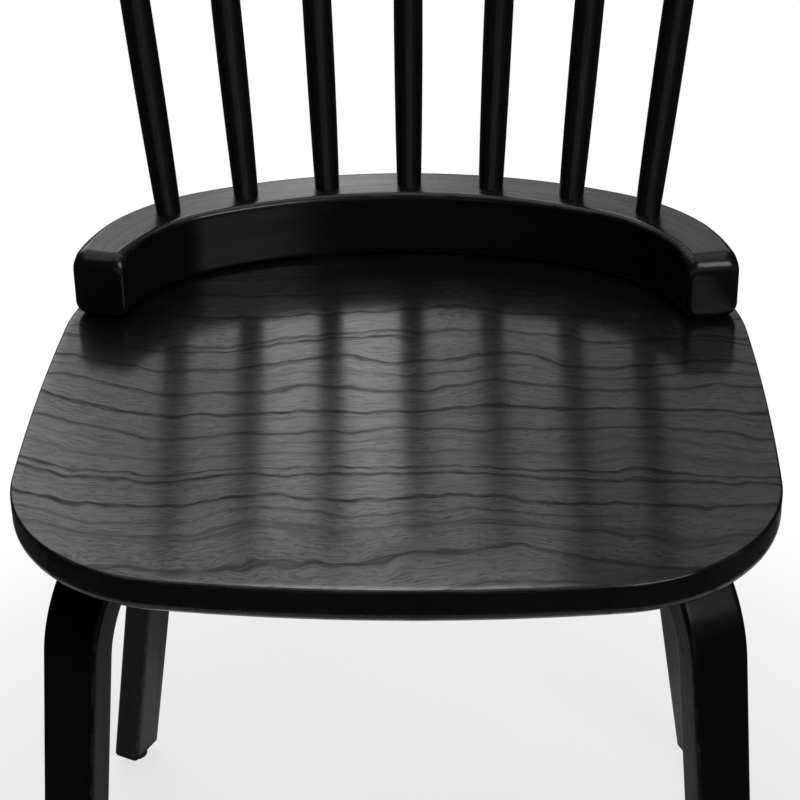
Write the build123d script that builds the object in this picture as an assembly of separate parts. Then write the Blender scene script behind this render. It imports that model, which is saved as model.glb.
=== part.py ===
from build123d import *

import os
from math import atan2, cos, degrees, hypot, radians, sin, sqrt, tan

# Spindle back dining chair: a veneered seat on four bent legs, with a curved rail round the back of the
# seat, seven turned spindles fanned out of the rail and a curved crest rail on top of them.
# Millimetres. X runs across the chair, Y from front to back, Z up. Left and right are as seen from the front.
# While the pieces are made, Y = 0 is the middle of the seat's front edge and Z = 0 is the floor.

# Seat
seat_width = 446.0
seat_depth = 430.0
seat_height = 435.0
seat_thickness = 23.0
seat_widest_place = 155.0
seat_front_radius = 1000.0
seat_side_radius = 2000.0
seat_back_radius = 348.0
seat_front_corner_radius = 108.0
seat_back_corner_radius = 128.5
seat_top_round = 2.0
seat_under_round = 8.0

# Curved rail that stands on the back of the seat
rail_height = 45.0
rail_width = 35.0
rail_setback = 3.0
rail_end_angle = 80.0
rail_end_round = 11.0
rail_foot_round = 6.0
rail_edge_round = 4.0

# Spindles
spindle_count = 7
spindle_end_margin = 78.0
spindle_lean = 13.5
spindle_end_diameter = 15.8
spindle_middle_diameter = 19.2
spindle_plain_end = 3.0
spindle_socket_depth = 28.0
tenon_diameter = 12.0
tenon_length = 26.0

# Crest rail
crest_rise = 255.0
crest_height = 60.0
crest_thickness = 24.0
crest_overhang = 36.0
crest_corner_radius = 20.0
crest_edge_round = 4.5

# Bent legs
leg_thickness = 20.5
leg_top_width = 37.0
leg_foot_width = 30.5
leg_bend_radius = 73.0
leg_splay = 9.0
leg_arm_length = 170.0
leg_arm_end_round = 5.0
leg_foot_round = 4.0
leg_edge_round = 3.0
front_leg_corner_angle = 47.0
front_leg_inset = 8.0
front_leg_facing = 26.0
rear_leg_corner_angle = 43.8
rear_leg_inset = 3.0
rear_leg_facing = 64.0

# Foot glides and their nails
glide_diameter = 17.0
glide_height = 5.0
glide_edge_chamfer = 1.2
nail_diameter = 2.4
nail_length = 20.0
nail_head_diameter = 7.0
nail_head_height = 1.2
nail_head_recess = 2.0

# Wood screws and dowels
screw_diameter = 4.5
screw_head_diameter = 9.0
screw_head_height = 3.0
screw_point_length = 5.0
counterbore_depth = 4.0
leg_screw_count = 3
leg_screw_start = 88.0
leg_screw_spacing = 32.0
leg_screw_bite = 14.0
rail_screw_bite = 25.0
rail_end_screw_margin = 20.0
dowel_diameter = 8.0
dowel_in_rail = 14.0
dowel_in_seat = 12.0
dowel_chamfer = 1.0

# Fits
glue_gap = 0.1
end_gap = 0.5
head_gap = 0.5

# Heights and plan circles that follow from the sizes above
seat_under = seat_height - seat_thickness
rail_top = seat_height + rail_height
rail_inset = rail_setback + rail_width / 2
leg_drop = seat_under - glide_height
front_centre = (0.0, seat_front_radius)
side_centre = (seat_width / 2 - seat_side_radius, seat_widest_place)
back_centre = (0.0, seat_depth - seat_back_radius)


def circle_crossings(centre_a, radius_a, centre_b, radius_b):
    """Both points where two circles cross."""
    across = centre_b[0] - centre_a[0]
    along = centre_b[1] - centre_a[1]
    distance = hypot(across, along)
    foot = (radius_a**2 - radius_b**2 + distance**2) / (2 * distance)
    half_chord = sqrt(radius_a**2 - foot**2)
    middle = (centre_a[0] + foot * across / distance, centre_a[1] + foot * along / distance)
    step = (-half_chord * along / distance, half_chord * across / distance)
    return [(middle[0] + side * step[0], middle[1] + side * step[1]) for side in (1, -1)]


def corner_centre(end_centre, end_radius, corner_radius, is_front):
    """Centre of the right-hand corner arc that runs smoothly into the end arc and the side arc."""
    found = circle_crossings(
        end_centre, end_radius - corner_radius, side_centre, seat_side_radius - corner_radius
    )
    return sorted(found, key=lambda point: point[1])[0 if is_front else 1]


front_corner = corner_centre(front_centre, seat_front_radius, seat_front_corner_radius, True)
back_corner = corner_centre(back_centre, seat_back_radius, seat_back_corner_radius, False)


def heading(start, end):
    """Direction from one plan point to another, in degrees from +X."""
    return degrees(atan2(end[1] - start[1], end[0] - start[0]))


def mirrored(point):
    return (-point[0], point[1])


def arc(centre, radius, start, end):
    return CenterArc(centre, radius, start, end - start)


# Directions in which the plan arcs meet, in degrees from +X
front_meeting = heading(front_centre, front_corner)
front_side_meeting = heading(side_centre, front_corner)
back_side_meeting = heading(side_centre, back_corner)
back_meeting = heading(back_centre, back_corner)


def seat_outline():
    """Closed plan of the seat: eight arcs, each tangent to the next."""
    right_arcs = [
        (front_corner, seat_front_corner_radius, front_meeting, front_side_meeting),
        (side_centre, seat_side_radius, front_side_meeting, back_side_meeting),
        (back_corner, seat_back_corner_radius, back_side_meeting, back_meeting),
    ]
    curves = [arc(front_centre, seat_front_radius, -180 - front_meeting, front_meeting)]
    curves += [arc(*right_arc) for right_arc in right_arcs]
    curves += [arc(back_centre, seat_back_radius, back_meeting, 180 - back_meeting)]
    curves += [
        arc(mirrored(centre), radius, 180 - start, 180 - end) for centre, radius, start, end in right_arcs
    ]
    return make_face(curves)


def rail_outline():
    """Plan of the rail: a band inside the seat's rear rim, cut square at both ends."""
    end_heading = 90 - rail_end_angle
    curves = []
    ends = []
    for inset in (rail_setback, rail_setback + rail_width):
        corner_radius = seat_back_corner_radius - inset
        right_curve = arc(back_corner, corner_radius, end_heading, back_meeting)
        left_curve = arc(mirrored(back_corner), corner_radius, 180 - back_meeting, 180 - end_heading)
        curves += [right_curve, left_curve]
        curves += [arc(back_centre, seat_back_radius - inset, back_meeting, 180 - back_meeting)]
        ends.append((right_curve @ 0, left_curve @ 1))
    curves += [Line(ends[0][side], ends[1][side]) for side in (0, 1)]
    return make_face(curves)


# Middle line of the rail: a main arc, and an end arc on each side that starts at the turn
rail_radius = seat_back_radius - rail_inset
rail_end_radius = seat_back_corner_radius - rail_inset
rail_turn = 90 - back_meeting
rail_half_length = rail_radius * radians(rail_turn) + rail_end_radius * radians(rail_end_angle - rail_turn)


def rail_point(distance):
    """Plan point on the middle line of the rail, measured along it from the middle of the back."""
    side = 1 if distance > 0 else -1
    angle = abs(distance) / rail_radius
    centre, radius = back_centre, rail_radius
    past_turn = abs(distance) - rail_radius * radians(rail_turn)
    if past_turn > 0:
        angle = radians(rail_turn) + past_turn / rail_end_radius
        centre, radius = back_corner, rail_end_radius
    return (side * (centre[0] + radius * sin(angle)), centre[1] + radius * cos(angle))


# Places of the spindles, rail screws and dowels
half_count = (spindle_count - 1) / 2
spindle_spacing = (rail_half_length - spindle_end_margin) / half_count
spindle_feet = [rail_point((number - half_count) * spindle_spacing) for number in range(spindle_count)]
rail_screw_points = [rail_point(place * spindle_spacing) for place in (-1.5, -0.5, 0.5, 1.5)]
rail_screw_points += [rail_point(side * (rail_half_length - rail_end_screw_margin)) for side in (-1, 1)]
dowel_points = [rail_point(place * spindle_spacing) for place in (-2.5, 2.5)]

# Middle line of the crest rail's underside, which is a circle about the centre of the back
crest_radius = rail_radius + crest_rise * tan(radians(spindle_lean))
crest_base = rail_top + crest_rise


def spindle_axes():
    """Foot and head of every spindle: each leans straight out from the centre of the back."""
    axes = []
    for foot in spindle_feet:
        turn = radians(heading(back_centre, foot))
        head = (crest_radius * cos(turn), back_centre[1] + crest_radius * sin(turn), crest_base)
        axes.append((Vector(*foot, rail_top), Vector(*head)))
    return axes


def spindle_plane(axis):
    foot, head = axis
    return Plane(origin=foot, z_dir=head - foot)


def spindle_length(axis):
    return (axis[1] - axis[0]).length


def make_spindle(axis):
    """Cigar-shaped turned rod with a plain lower end for the rail and a shouldered tenon for the crest."""
    length = spindle_length(axis)
    end_radius = spindle_end_diameter / 2
    tenon_radius = tenon_diameter / 2
    shoulder = length - glue_gap
    tip = length + tenon_length
    swell_middle = (spindle_middle_diameter / 2, (spindle_plain_end + shoulder) / 2)
    outline = [
        Polyline(
            (0, -spindle_socket_depth),
            (end_radius, -spindle_socket_depth),
            (end_radius, spindle_plain_end),
        ),
        ThreePointArc((end_radius, spindle_plain_end), swell_middle, (end_radius, shoulder)),
        Polyline(
            (end_radius, shoulder),
            (tenon_radius, shoulder),
            (tenon_radius, tip),
            (0, tip),
            (0, -spindle_socket_depth),
        ),
    ]
    rod = revolve(Plane.XZ * make_face(outline), Axis.Z)
    return spindle_plane(axis) * rod


def bore(point, radius, bottom, top):
    """Upright cylinder over a plan point, used to cut a hole."""
    return Pos(*point, (bottom + top) / 2) * Cylinder(radius, top - bottom)


def make_rail():
    """Curved rail with rounded ends and edges, leaning sockets on top and screw and dowel holes below."""
    rail = Pos(0, 0, seat_height) * extrude(rail_outline(), rail_height)
    end_faces = rail.faces().filter_by(GeomType.PLANE).filter_by(Axis.Z, reverse=True)
    rail = fillet([face.edges().sort_by(Axis.Z)[-1] for face in end_faces], rail_end_round)
    end_faces = rail.faces().filter_by(GeomType.PLANE).filter_by(Axis.Z, reverse=True)
    rail = fillet([face.edges().sort_by(Axis.Z)[0] for face in end_faces], rail_foot_round)
    # The rail bends in three arcs, and each has an outer and an inner face
    side_faces = rail.faces().filter_by(GeomType.CYLINDER).sort_by(SortBy.AREA)[-3 * 2 :]
    side_edges = [edge for face in side_faces for edge in face.edges()]
    rail = fillet([edge for edge in side_edges if side_edges.count(edge) == 1], rail_edge_round)
    socket = Cylinder(spindle_end_diameter / 2 + glue_gap, 2 * spindle_socket_depth)
    for axis in spindle_axes():
        rail -= spindle_plane(axis) * socket
    for point in rail_screw_points:
        hole_top = seat_height + rail_screw_bite + end_gap
        rail -= bore(point, screw_diameter / 2 + glue_gap, seat_height, hole_top)
    for point in dowel_points:
        hole_top = seat_height + dowel_in_rail + end_gap
        rail -= bore(point, dowel_diameter / 2 + glue_gap, seat_height, hole_top)
    return rail


def make_crest():
    """Bent crest rail that leans with the spindles, with rounded corners and edges and blind sockets."""
    axis = Axis((*back_centre, 0), (0, 0, 1))
    lean = radians(spindle_lean)
    centre = (
        back_centre[1] + crest_radius + crest_height / 2 * sin(lean),
        crest_base + crest_height / 2 * cos(lean),
    )
    section = Plane.YZ * Pos(*centre) * Rot(Z=-spindle_lean) * Rectangle(crest_thickness, crest_height)
    outermost = 90 - heading(back_centre, spindle_feet[-1])
    half_angle = outermost + degrees(crest_overhang / crest_radius)
    crest = revolve(section, axis, 2 * half_angle).rotate(axis, -half_angle)
    end_faces = crest.faces().filter_by(GeomType.PLANE)
    corners = [edge for face in end_faces for edge in face.edges() if edge.length < crest_height / 2]
    crest = fillet(corners, crest_corner_radius)
    broad_faces = crest.faces().sort_by(SortBy.AREA)[-2:]
    crest = fillet([edge for face in broad_faces for edge in face.edges()], crest_edge_round)
    for spindle_axis in spindle_axes():
        depth = tenon_length + end_gap
        socket = Cylinder(tenon_diameter / 2 + glue_gap, 2 * depth)
        crest -= spindle_plane(spindle_axis) * Pos(Z=spindle_length(spindle_axis)) * socket
    return crest


def leg_foot_reach():
    """Distance of the foot's middle from the line where the bend stands furthest out, negative outwards."""
    splay = radians(leg_splay)
    bend_end = leg_bend_radius * (1 - cos(splay))
    straight_drop = leg_drop - leg_bend_radius * (1 - sin(splay))
    return bend_end - straight_drop * tan(splay) + leg_thickness / (2 * cos(splay))


def leg_profile():
    """Side view of a bent leg: arm under the seat, bend, and a straight leg cut level at the foot."""
    splay = radians(leg_splay)
    inner_radius = leg_bend_radius - leg_thickness
    centre = (leg_bend_radius, -leg_bend_radius)
    half_foot = leg_thickness / (2 * cos(splay))
    foot_out = (leg_foot_reach() - half_foot, -leg_drop)
    foot_in = (leg_foot_reach() + half_foot, -leg_drop)
    outer_bend = arc(centre, leg_bend_radius, 90, 180 - leg_splay)
    inner_bend = arc(centre, inner_radius, 90, 180 - leg_splay)
    arm_top = (leg_arm_length, 0)
    arm_bottom = (leg_arm_length, -leg_thickness)
    outline = make_face(
        [
            Line(arm_top, outer_bend @ 0),
            outer_bend,
            Polyline(outer_bend @ 1, foot_out, foot_in, inner_bend @ 1),
            inner_bend,
            Polyline(inner_bend @ 0, arm_bottom, arm_top),
        ]
    )
    foot_corners = outline.vertices().group_by(Axis.Y)[0]
    outline = fillet(foot_corners, leg_foot_round)
    arm_corners = outline.vertices().group_by(Axis.X)[-1]
    return fillet(arm_corners, leg_arm_end_round)


def leg_screw_places():
    return [leg_screw_start + number * leg_screw_spacing for number in range(leg_screw_count)]


def make_leg():
    """One bent leg in its own frame: X along the arm, Z = 0 at the seat's underside."""
    leg = extrude(Plane.XZ * leg_profile(), leg_top_width, both=True)
    taper = Polygon(
        (-leg_top_width / 2, 0),
        (leg_top_width / 2, 0),
        (leg_foot_width / 2, -leg_drop),
        (-leg_foot_width / 2, -leg_drop),
        align=None,
    )
    leg &= extrude(Plane.YZ * taper, leg_drop, both=True)
    sides = leg.faces().sort_by(Axis.Y)
    leg = fillet(sides[0].edges() + sides[-1].edges(), leg_edge_round)
    for place in leg_screw_places():
        leg -= bore((place, 0), screw_diameter / 2 + glue_gap, -leg_thickness, 0)
        leg -= bore(
            (place, 0),
            screw_head_diameter / 2 + head_gap,
            -leg_thickness,
            -leg_thickness + counterbore_depth,
        )
    nail_depth = nail_length - (glide_height - nail_head_recess) + end_gap
    leg -= bore((leg_foot_reach(), 0), nail_diameter / 2 + glue_gap, -leg_drop, -leg_drop + nail_depth)
    return leg


def leg_location(is_front, side):
    """Place of a leg on its corner of the seat, with its arm pointing in under the seat."""
    if is_front:
        centre, reach = front_corner, seat_front_corner_radius - front_leg_inset
        corner_angle, facing, way = radians(front_leg_corner_angle), radians(front_leg_facing), -1
    else:
        centre, reach = back_corner, seat_back_corner_radius - rear_leg_inset
        corner_angle, facing, way = radians(rear_leg_corner_angle), radians(rear_leg_facing), 1
    x = side * (centre[0] + reach * sin(corner_angle))
    y = centre[1] + way * reach * cos(corner_angle)
    arm_heading = degrees(atan2(-way * cos(facing), -side * sin(facing)))
    return Pos(x, y, seat_under) * Rot(Z=arm_heading)


def make_screw(length):
    """Wood screw pointing up, with the bearing face of its head at Z = 0."""
    head_radius = screw_head_diameter / 2
    radius = screw_diameter / 2
    outline = Polyline(
        (0, -screw_head_height),
        (head_radius, -screw_head_height),
        (head_radius, 0),
        (radius, 0),
        (radius, length - screw_point_length),
        (0, length),
        (0, -screw_head_height),
    )
    return revolve(Plane.XZ * make_face(outline), Axis.Z)


def make_dowel():
    dowel = Cylinder(dowel_diameter / 2, dowel_in_rail + dowel_in_seat)
    dowel = chamfer(dowel.edges().filter_by(GeomType.CIRCLE), dowel_chamfer)
    return Pos(Z=seat_height + (dowel_in_rail - dowel_in_seat) / 2) * dowel


def make_glide():
    """Round glide under a foot, with its nail head sunk into the underside. Z = 0 at the floor."""
    glide = Pos(Z=glide_height / 2) * Cylinder(glide_diameter / 2, glide_height)
    glide = chamfer(glide.edges().filter_by(GeomType.CIRCLE).sort_by(Axis.Z)[0], glide_edge_chamfer)
    glide -= bore((0, 0), nail_diameter / 2 + glue_gap, 0, glide_height)
    return glide - bore((0, 0), nail_head_diameter / 2 + glue_gap, 0, nail_head_recess)


def make_nail():
    outline = Polyline(
        (0, nail_head_recess - nail_head_height),
        (nail_head_diameter / 2, nail_head_recess - nail_head_height),
        (nail_head_diameter / 2, nail_head_recess),
        (nail_diameter / 2, nail_head_recess),
        (nail_diameter / 2, nail_head_recess + nail_length - 2 * nail_diameter),
        (0, nail_head_recess + nail_length),
        (0, nail_head_recess - nail_head_height),
    )
    return revolve(Plane.XZ * make_face(outline), Axis.Z)


def make_seat(leg_places):
    """Flat seat with eased rims, bored from below for the leg screws, the rail screws and the dowels."""
    seat = Pos(0, 0, seat_under) * extrude(seat_outline(), seat_thickness)
    seat = fillet(seat.edges().group_by(Axis.Z)[-1], seat_top_round)
    seat = fillet(seat.edges().group_by(Axis.Z)[0], seat_under_round)
    for place in leg_places:
        for along in leg_screw_places():
            hole = bore((along, 0), screw_diameter / 2 + glue_gap, 0, leg_screw_bite + end_gap)
            seat -= place * hole
    for point in rail_screw_points:
        seat -= bore(point, screw_diameter / 2 + glue_gap, seat_under, seat_height)
        seat -= bore(point, screw_head_diameter / 2 + head_gap, seat_under, seat_under + counterbore_depth)
    for point in dowel_points:
        seat -= bore(point, dowel_diameter / 2 + glue_gap, seat_height - dowel_in_seat - end_gap, seat_height)
    return seat


leg_places = {
    f"{end}_{hand}": leg_location(end == "front", side)
    for end in ("front", "rear")
    for hand, side in (("left", -1), ("right", 1))
}

leg_screw = make_screw(leg_thickness - counterbore_depth + leg_screw_bite)
rail_screw = make_screw(seat_thickness - counterbore_depth + rail_screw_bite)
leg = make_leg()
glide = make_glide()
nail = make_nail()

pieces = {"seat": make_seat(leg_places.values()), "back_rail": make_rail(), "crest_rail": make_crest()}
for number, axis in enumerate(spindle_axes(), start=1):
    pieces[f"spindle_{number}"] = make_spindle(axis)
for name, place in leg_places.items():
    under_foot = place * Pos(leg_foot_reach(), 0, -seat_under)
    screw_seats = [Pos(along, 0, counterbore_depth - leg_thickness) for along in leg_screw_places()]
    pieces[f"leg_{name}"] = place * leg
    pieces[f"leg_screws_{name}"] = Compound([place * spot * leg_screw for spot in screw_seats])
    pieces[f"foot_glide_{name}"] = under_foot * glide
    pieces[f"glide_nail_{name}"] = under_foot * nail
pieces["rail_screws"] = Compound(
    [Pos(*point, seat_under + counterbore_depth) * rail_screw for point in rail_screw_points]
)
pieces["rail_dowels"] = Compound([Pos(*point, 0) * make_dowel() for point in dowel_points])

# The finished frame has its origin on the floor, under the middle of the chair's outline
outline_box = Compound(list(pieces.values())).bounding_box()
to_frame = Pos(0, -(outline_box.min.Y + outline_box.max.Y) / 2, 0)

os.makedirs("parts", exist_ok=True)
for name, piece in pieces.items():
    export_step(to_frame * piece, f"parts/{name}.step")
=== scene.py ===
from math import atan2, cos, hypot, pi, radians, sin, sqrt, tan

import bmesh
import bpy
from mathutils import Matrix, Vector


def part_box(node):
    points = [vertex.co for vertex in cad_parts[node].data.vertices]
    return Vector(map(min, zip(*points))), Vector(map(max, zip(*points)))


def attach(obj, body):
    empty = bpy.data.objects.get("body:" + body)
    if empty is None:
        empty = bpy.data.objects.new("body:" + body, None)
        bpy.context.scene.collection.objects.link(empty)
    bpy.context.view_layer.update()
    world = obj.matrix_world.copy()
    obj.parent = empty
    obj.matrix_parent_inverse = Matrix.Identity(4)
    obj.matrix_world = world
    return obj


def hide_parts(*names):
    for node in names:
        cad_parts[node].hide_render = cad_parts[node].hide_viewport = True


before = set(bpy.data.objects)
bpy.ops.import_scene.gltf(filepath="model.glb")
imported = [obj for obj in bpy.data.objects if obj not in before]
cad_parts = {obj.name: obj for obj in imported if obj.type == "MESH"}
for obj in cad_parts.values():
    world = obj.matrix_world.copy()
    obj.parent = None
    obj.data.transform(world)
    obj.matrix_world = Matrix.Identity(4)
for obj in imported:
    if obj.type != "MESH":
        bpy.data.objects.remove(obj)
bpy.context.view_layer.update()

# Spindle back dining chair in black stained ash. Metres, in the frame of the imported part.
# Plan sizes are measured from the middle of the seat's front edge, as in the part's source.

MM = 0.001
front_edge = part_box("seat")[0][1]
seat_under, seat_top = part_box("seat")[0][2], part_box("seat")[1][2]

# Seat plan: front, side and back arcs with corner arcs between them
seat_half_width = 223 * MM
seat_depth = 430 * MM
widest_place = 155 * MM
front_radius, side_radius, back_radius = 1000 * MM, 2000 * MM, 348 * MM
front_corner_radius, back_corner_radius = 108 * MM, 128.5 * MM
seat_top_round, seat_under_round = 2 * MM, 8 * MM

# Rail, spindles and crest rail
rail_height, rail_width, rail_setback = 45 * MM, 35 * MM, 3 * MM
rail_end_angle = radians(80)
rail_end_round, rail_foot_round, rail_edge_round = 11 * MM, 6 * MM, 4 * MM
rail_end_softening, rail_soft_reach = 5 * MM, 45 * MM
spindle_count, spindle_end_margin, spindle_lean = 7, 78 * MM, radians(13.5)
spindle_end_radius, spindle_middle_radius = 7.9 * MM, 9.6 * MM
spindle_in_rail, spindle_in_crest = 12 * MM, 3 * MM
crest_rise, crest_height, crest_thickness = 255 * MM, 60 * MM, 24 * MM
crest_overhang, crest_corner, crest_edge_round = 36 * MM, 20 * MM, 4.5 * MM

# Rail screws: between the spindles, counted in spacings from the middle, and near the rail's ends
rail_screw_places, rail_end_screw_margin = (-1.5, -0.5, 0.5, 1.5), 20 * MM

# Bent legs, glides and fasteners
leg_thickness, leg_top_width, leg_foot_width = 20.5 * MM, 37 * MM, 30.5 * MM
leg_bend_radius, leg_splay, leg_arm_length = 73 * MM, radians(9), 170 * MM
leg_arm_end_round, leg_foot_round, leg_edge_round = 5 * MM, 4 * MM, 3 * MM
front_leg_inset, front_leg_angle, front_leg_facing = 8 * MM, radians(47), radians(26)
rear_leg_inset, rear_leg_angle, rear_leg_facing = 3 * MM, radians(43.8), radians(64)
leg_screw_places = [88 * MM, 120 * MM, 152 * MM]
glide_radius, glide_height = 8.5 * MM, 5 * MM
nail_head_radius, nail_head_recess, nail_head_height = 3.5 * MM, 2 * MM, 1.2 * MM
nail_head_clearance = 0.2 * MM
screw_head_radius, screw_radius, screw_stub = 4.5 * MM, 2.25 * MM, 3 * MM
counterbore_radius, counterbore_depth, bore_tool_reach = 5 * MM, 4 * MM, 30 * MM
axis_gap = 0.2 * MM
leg_drop = seat_under - glide_height

# Mesh density
seat_arc_steps, seat_edge_steps, corner_steps = 36, 8, 6
arm_steps, bend_steps, foot_steps = 12, 32, 40
station_step, rail_finest, crest_finest, leg_finest = 5 * MM, 0.12 * MM, 0.2 * MM, 0.07 * MM
rail_end_rings, leg_end_rings = 12, 11
spindle_rings, spindle_sides = 90, 48
fitting_sides, screw_sides, bore_sides = 40, 24, 36

# Points that keep flat faces flat beside a rounded edge
support_gap, smallest_support, largest_support_share = 1.5 * MM, 0.02 * MM, 0.49
smallest_round, largest_round_share = 0.2 * MM, 0.48
seat_face_margin, end_face_share = 4 * MM, 0.12

# Edge wear, which is also a painted highlight on the rounded edges: where a rounded edge is halfway round,
# in radii, and the share left for the seat's lower edge
halfway_round, lower_edge_wear_and_highlight = 0.3, 0.5

# Shifts of the grain, so that no two pieces show the same stretch of wood
crest_grain_shift, crest_grain_aside = 0.7, 0.11
leg_grain_shift, leg_grain_aside = 1.3, 0.06
spindle_grain_shift = 0.83

# Seed for the turn of each screw, glide and nail
fitting_seed = 4


# Plan geometry

def crossing(centre_a, radius_a, centre_b, radius_b, pick):
    """Point where two circles cross: min picks the one nearer the front, max the other."""
    across, along = centre_b[0] - centre_a[0], centre_b[1] - centre_a[1]
    gap = hypot(across, along)
    foot = (radius_a**2 - radius_b**2 + gap**2) / (2 * gap)
    half = sqrt(radius_a**2 - foot**2)
    found = []
    for side in (1, -1):
        x = centre_a[0] + (foot * across - side * half * along) / gap
        y = centre_a[1] + (foot * along + side * half * across) / gap
        found.append((x, y))
    return pick(found, key=lambda point: point[1])


def heading(start, end):
    """Direction from one plan point to another, as an angle from +X."""
    return atan2(end[1] - start[1], end[0] - start[0])


front_centre = (0, front_radius)
side_centre = (seat_half_width - side_radius, widest_place)
back_centre = (0, seat_depth - back_radius)
front_corner = crossing(
    front_centre, front_radius - front_corner_radius, side_centre, side_radius - front_corner_radius, min
)
back_corner = crossing(
    back_centre, back_radius - back_corner_radius, side_centre, side_radius - back_corner_radius, max
)
front_meeting = heading(front_centre, front_corner)
front_side_meeting = heading(side_centre, front_corner)
back_side_meeting = heading(side_centre, back_corner)
back_meeting = heading(back_centre, back_corner)


def place(x, y, z):
    """Plan point and height as a point of the part's frame."""
    return Vector((x, y + front_edge, z))


def seat_ring(inset, z):
    """Seat outline drawn in by an inset, as a closed ring of points."""
    right = [
        (front_centre, front_radius, -pi / 2, front_meeting),
        (front_corner, front_corner_radius, front_meeting, front_side_meeting),
        (side_centre, side_radius, front_side_meeting, back_side_meeting),
        (back_corner, back_corner_radius, back_side_meeting, back_meeting),
        (back_centre, back_radius, back_meeting, pi / 2),
    ]
    points = []
    for centre, radius, start, end in right:
        reach = radius - inset
        for step in range(seat_arc_steps):
            turn = start + (end - start) * step / seat_arc_steps
            points.append((centre[0] + reach * cos(turn), centre[1] + reach * sin(turn)))
    points.append((0, seat_depth - inset))
    points += [(-x, y) for x, y in reversed(points[1:-1])]
    return [place(x, y, z) for x, y in points]


rail_inset = rail_setback + rail_width / 2
rail_radius, rail_end_radius = back_radius - rail_inset, back_corner_radius - rail_inset
rail_turn = pi / 2 - back_meeting
rail_half = rail_radius * rail_turn + rail_end_radius * (rail_end_angle - rail_turn)


def rail_station(distance):
    """Plan point on the rail's middle line and the outward direction there."""
    side = 1 if distance > 0 else -1
    turn, centre, radius = abs(distance) / rail_radius, back_centre, rail_radius
    past = abs(distance) - rail_radius * rail_turn
    if past > 0:
        turn, centre, radius = rail_turn + past / rail_end_radius, back_corner, rail_end_radius
    point = (side * (centre[0] + radius * sin(turn)), centre[1] + radius * cos(turn))
    return point, (side * sin(turn), cos(turn))


half_count = (spindle_count - 1) // 2
spindle_spacing = (rail_half - spindle_end_margin) / half_count
rail_top = seat_top + rail_height
crest_base = rail_top + crest_rise
crest_radius = rail_radius + crest_rise * tan(spindle_lean)


def spindle_ends(number):
    """Foot and head of a spindle's axis, from the rail's top to the crest rail's underside."""
    foot, _ = rail_station((number - half_count) * spindle_spacing)
    turn = heading(back_centre, foot)
    head = (crest_radius * cos(turn), back_centre[1] + crest_radius * sin(turn))
    return place(*foot, rail_top), place(*head, crest_base)


# Mesh making

def eased(radius, distance):
    """How far a rounded edge draws back at a distance from the end that it rounds."""
    reach = max(radius - distance, 0)
    return radius - sqrt(max(radius**2 - reach**2, 0))


def rounded_section(low_a, high_a, low_b, high_b, radius):
    """Rounded rectangle with a support point beside each end of its flat sides."""
    shorter = min(high_a - low_a, high_b - low_b)
    radius = max(min(radius, shorter * largest_round_share), smallest_round)
    support = max(min(support_gap, shorter * largest_support_share - radius), smallest_support)
    corners = [(high_a, high_b, 0), (low_a, high_b, 1), (low_a, low_b, 2), (high_a, low_b, 3)]
    points = []
    for a, b, quarter in corners:
        centre_a = a - radius if a == high_a else a + radius
        centre_b = b - radius if b == high_b else b + radius
        arc = []
        for step in range(corner_steps + 1):
            turn = (quarter + step / corner_steps) * pi / 2
            arc.append((centre_a + radius * cos(turn), centre_b + radius * sin(turn)))
        first, last = quarter * pi / 2 - pi / 2, (quarter + 1) * pi / 2 + pi / 2
        before = (arc[0][0] + support * cos(first), arc[0][1] + support * sin(first))
        after = (arc[-1][0] + support * cos(last), arc[-1][1] + support * sin(last))
        points += [before] + arc + [after]
    return points


def corner_weights():
    """For the points of a rounded section: 1 at the middle of each rounded corner, 0 on the flats."""
    return ([0.0] + [sin(pi * step / corner_steps) for step in range(corner_steps + 1)] + [0.0]) * 4


def shell(name, rings, grain=None, edge=None):
    """Closed smooth mesh through equal rings, with grain places and edge weights kept on its points."""
    mesh = bpy.data.meshes.new(name)
    count = len(rings[0])
    faces = []
    for ring in range(len(rings) - 1):
        low, high = ring * count, (ring + 1) * count
        for step in range(count):
            other = (step + 1) % count
            faces.append((low + step, low + other, high + other, high + step))
    faces.append(tuple(reversed(range(count))))
    faces.append(tuple(range((len(rings) - 1) * count, len(rings) * count)))
    mesh.from_pydata([point for ring in rings for point in ring], [], faces)
    if grain:
        layer = mesh.attributes.new("grain", "FLOAT_VECTOR", "POINT")
        layer.data.foreach_set("vector", [value for ring in grain for point in ring for value in point])
    if edge:
        layer = mesh.attributes.new("edge", "FLOAT", "POINT")
        layer.data.foreach_set("value", [value for ring in edge for value in ring])
    work = bmesh.new()
    work.from_mesh(mesh)
    bmesh.ops.recalc_face_normals(work, faces=work.faces)
    work.to_mesh(mesh)
    work.free()
    mesh.polygons.foreach_set("use_smooth", [True] * len(mesh.polygons))
    piece = bpy.data.objects.new(name, mesh)
    bpy.context.collection.objects.link(piece)
    return piece


def crowded(finest, count):
    """Distances from an end that lie closer together towards it."""
    return [finest * k**2 for k in range(count)]


def stations(length, finest):
    """Distances along a length, crowded at both ends for the rounded edges there."""
    near = crowded(finest, rail_end_rings)
    count = int((length - 2 * near[-1]) / station_step)
    middle = [near[-1] + (length - 2 * near[-1]) * k / count for k in range(1, count)]
    return near + middle + [length - value for value in reversed(near)]


def drawn_in(ring):
    """Ring moved a little towards its middle, so that the flat end inside it shades flat."""
    middle = sum(ring, Vector()) / len(ring)
    return [point + (middle - point) * end_face_share for point in ring]


def loft(name, rings, grain, end_weights):
    """Shell through the sections of a bent piece, with a support ring inside each flat end."""
    closed = [drawn_in(rings[0])] + rings + [drawn_in(rings[-1])]
    edge = [[max(weight, end) for weight in corner_weights()] for end in end_weights]
    flat = [0.0] * len(rings[0])
    return shell(name, closed, [grain[0]] + grain + [grain[-1]], [flat] + edge + [flat])


def end_weight(from_end, radius):
    """1 halfway round the rounded edge of an end, falling to 0 beyond it."""
    return max(1 - abs(from_end - halfway_round * radius) / ((1 - halfway_round) * radius), 0.0)


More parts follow.
